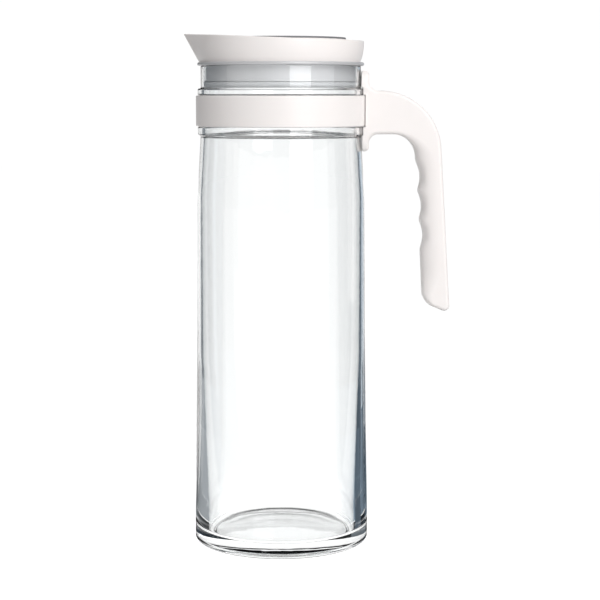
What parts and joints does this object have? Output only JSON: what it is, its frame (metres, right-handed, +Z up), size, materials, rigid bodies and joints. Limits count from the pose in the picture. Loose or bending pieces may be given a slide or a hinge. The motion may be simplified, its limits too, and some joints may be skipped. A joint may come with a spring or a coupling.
{
  "type": "water jug",
  "caption": "Tall glass water jug with a clamped collar and finger-grooved handle, a flared lid with a pouring spout, a turning pour dial and a sealed stopper.",
  "frame": {"origin": "on the jug's axis, at the level of the glass contact ring it stands on", "axes": "+Z up along the jug's axis, +X towards the handle, -X towards the spout"},
  "size_m": [0.157, 0.104, 0.3026],
  "materials": {
    "clear_glass": "fire-polished pressed soda-lime glass",
    "white_polypropylene": "satin-gloss moulded white polypropylene",
    "frosted_plastic": "frosted translucent moulded plastic",
    "clear_silicone": "soft translucent silicone",
    "stainless_steel": "fine-ground stainless steel"
  },
  "bodies": {
    "jug": {"glass_jug": "clear_glass", "band_liner": "clear_silicone", "collar_band": "white_polypropylene", "handle_near": "white_polypropylene", "handle_far": "white_polypropylene", "handle_screws": "stainless_steel", "screw_plugs": "white_polypropylene"},
    "ring": {"seal_ring": "clear_silicone"},
    "lid": {"lid_cap": "white_polypropylene", "stopper": "frosted_plastic"},
    "dial": {"pour_dial": "white_polypropylene", "strainer": "stainless_steel", "dial_seal": "clear_silicone", "dial_washer": "stainless_steel", "dial_screw": "stainless_steel"}
  },
  "joints": [
    {"name": "lid_lift", "type": "slide", "parent": "jug", "child": "ring", "axis": [0, 0, 1], "range_m": [0, 0.05]},
    {"name": "lid_turn", "type": "hinge", "parent": "ring", "child": "lid", "pos_m": [0, 0, 0.28], "axis": [0, 0, 1], "continuous": true},
    {"name": "dial_turn", "type": "hinge", "parent": "lid", "child": "dial", "pos_m": [0, 0, 0.29], "axis": [0, 0, 1], "range_deg": [-90, 90]}
  ]
}
